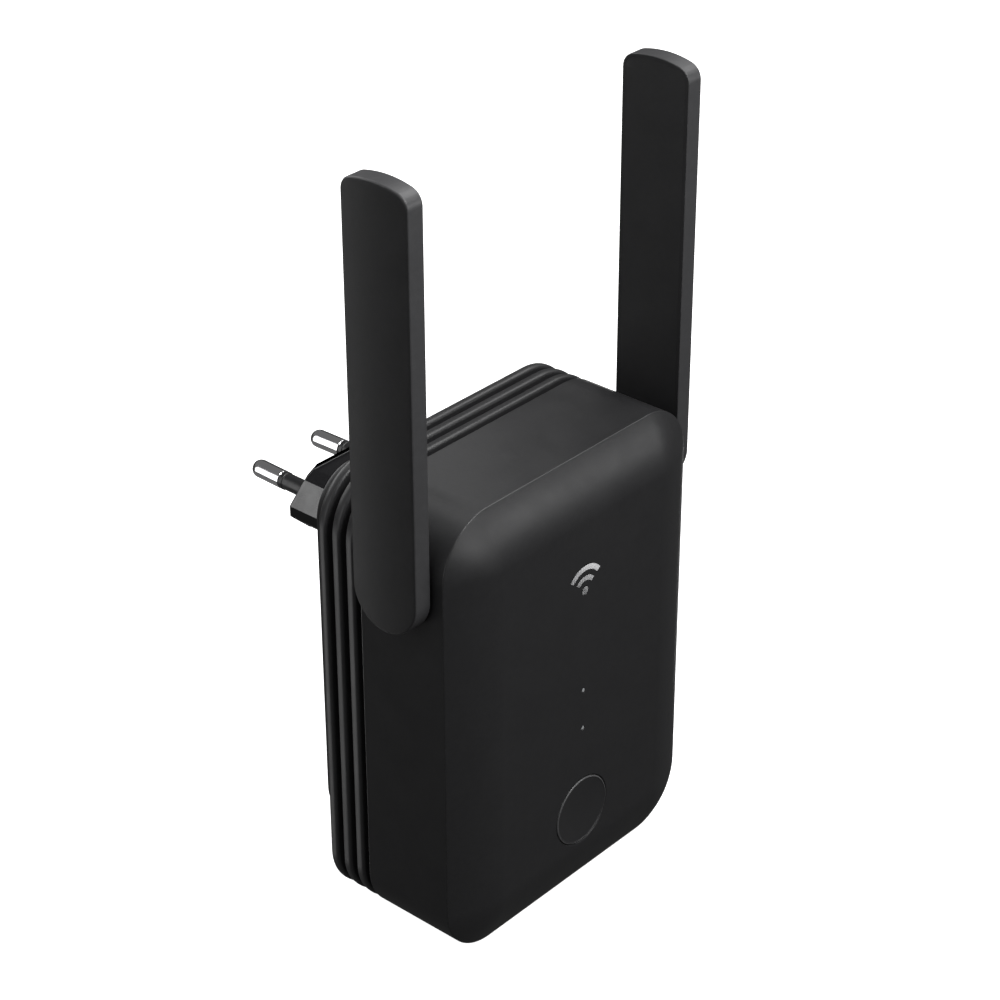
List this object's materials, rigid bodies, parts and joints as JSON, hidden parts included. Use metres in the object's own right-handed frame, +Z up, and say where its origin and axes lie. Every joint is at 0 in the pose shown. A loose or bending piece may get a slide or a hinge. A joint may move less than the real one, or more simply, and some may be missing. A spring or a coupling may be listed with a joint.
{
  "type": "wifi range extender",
  "caption": "Plug-in wifi range extender: black ribbed housing with crowned front, round pairing button, two-pin mains plug behind and flat blade antennas that fold down at the sides.",
  "frame": {"origin": "centre of the plug's flat end face, midway between the two pins", "axes": "+Y out of the plug's end face into the wall, -Y out of the front face towards the viewer, +Z up along the raised antennas, X across the housing"},
  "size_m": [0.0836, 0.0844, 0.1719],
  "materials": {
    "front_shell": "fine matte texture",
    "rear_shell": "fine matte texture",
    "back_plate": "fine matte texture",
    "back_screw_upper_left": "satin",
    "back_screw_upper_right": "satin",
    "back_screw_lower_left": "satin",
    "back_screw_lower_right": "satin",
    "plug_block": "gloss",
    "pin_left": "polished",
    "pin_right": "polished",
    "pin_sleeve_left": "satin",
    "pin_sleeve_right": "satin",
    "tact_switch": "satin",
    "light_pipe_upper": "gloss",
    "light_pipe_lower": "gloss",
    "emblem_dot": "polished",
    "emblem_arc_inner": "polished",
    "emblem_arc_outer": "polished",
    "main_board": "satin",
    "power_board": "satin",
    "rf_shield": "satin",
    "heat_spreader": "satin",
    "ethernet_jack": "satin",
    "jack_contacts": "polished",
    "transformer_core": "matte",
    "transformer_winding": "satin",
    "capacitor_large": "satin",
    "capacitor_small": "satin",
    "filter_capacitor": "satin",
    "board_link": "satin",
    "coax_lead_left": "satin",
    "coax_lead_right": "satin",
    "button_cap": "satin",
    "switch_plunger": "satin",
    "antenna_left_shell": "fine matte texture",
    "antenna_left_cover": "fine matte texture",
    "antenna_left_radiator": "satin",
    "antenna_left_hub": "satin",
    "antenna_left_washer": "satin",
    "antenna_right_shell": "fine matte texture",
    "antenna_right_cover": "fine matte texture",
    "antenna_right_radiator": "satin",
    "antenna_right_hub": "satin",
    "antenna_right_washer": "satin"
  },
  "bodies": {
    "housing": {"front_shell": "front_shell", "rear_shell": "rear_shell", "back_plate": "back_plate", "back_screw_upper_left": "back_screw_upper_left", "back_screw_upper_right": "back_screw_upper_right", "back_screw_lower_left": "back_screw_lower_left", "back_screw_lower_right": "back_screw_lower_right", "plug_block": "plug_block", "pin_left": "pin_left", "pin_right": "pin_right", "pin_sleeve_left": "pin_sleeve_left", "pin_sleeve_right": "pin_sleeve_right", "tact_switch": "tact_switch", "light_pipe_upper": "light_pipe_upper", "light_pipe_lower": "light_pipe_lower", "emblem_dot": "emblem_dot", "emblem_arc_inner": "emblem_arc_inner", "emblem_arc_outer": "emblem_arc_outer", "main_board": "main_board", "power_board": "power_board", "rf_shield": "rf_shield", "heat_spreader": "heat_spreader", "ethernet_jack": "ethernet_jack", "jack_contacts": "jack_contacts", "transformer_core": "transformer_core", "transformer_winding": "transformer_winding", "capacitor_large": "capacitor_large", "capacitor_small": "capacitor_small", "filter_capacitor": "filter_capacitor", "board_link": "board_link", "coax_lead_left": "coax_lead_left", "coax_lead_right": "coax_lead_right"},
    "pairing_button": {"button_cap": "button_cap", "switch_plunger": "switch_plunger"},
    "antenna_left": {"antenna_left_shell": "antenna_left_shell", "antenna_left_cover": "antenna_left_cover", "antenna_left_radiator": "antenna_left_radiator", "antenna_left_hub": "antenna_left_hub", "antenna_left_washer": "antenna_left_washer"},
    "antenna_right": {"antenna_right_shell": "antenna_right_shell", "antenna_right_cover": "antenna_right_cover", "antenna_right_radiator": "antenna_right_radiator", "antenna_right_hub": "antenna_right_hub", "antenna_right_washer": "antenna_right_washer"}
  },
  "joints": [
    {"name": "antenna_left_hinge", "type": "hinge", "parent": "housing", "child": "antenna_left", "pos_m": [-0.0368, -0.05005, 0.0113], "axis": [1, 0, 0], "range_deg": [0, 180]},
    {"name": "antenna_right_hinge", "type": "hinge", "parent": "housing", "child": "antenna_right", "pos_m": [0.0368, -0.05005, 0.0113], "axis": [1, 0, 0], "range_deg": [0, 180]},
    {"name": "pairing_button_slide", "type": "slide", "parent": "housing", "child": "pairing_button", "axis": [0, 1, 0], "range_m": [0, 0.0008], "stiffness_N_per_m": 1500, "springref_m": -0.0002}
  ]
}
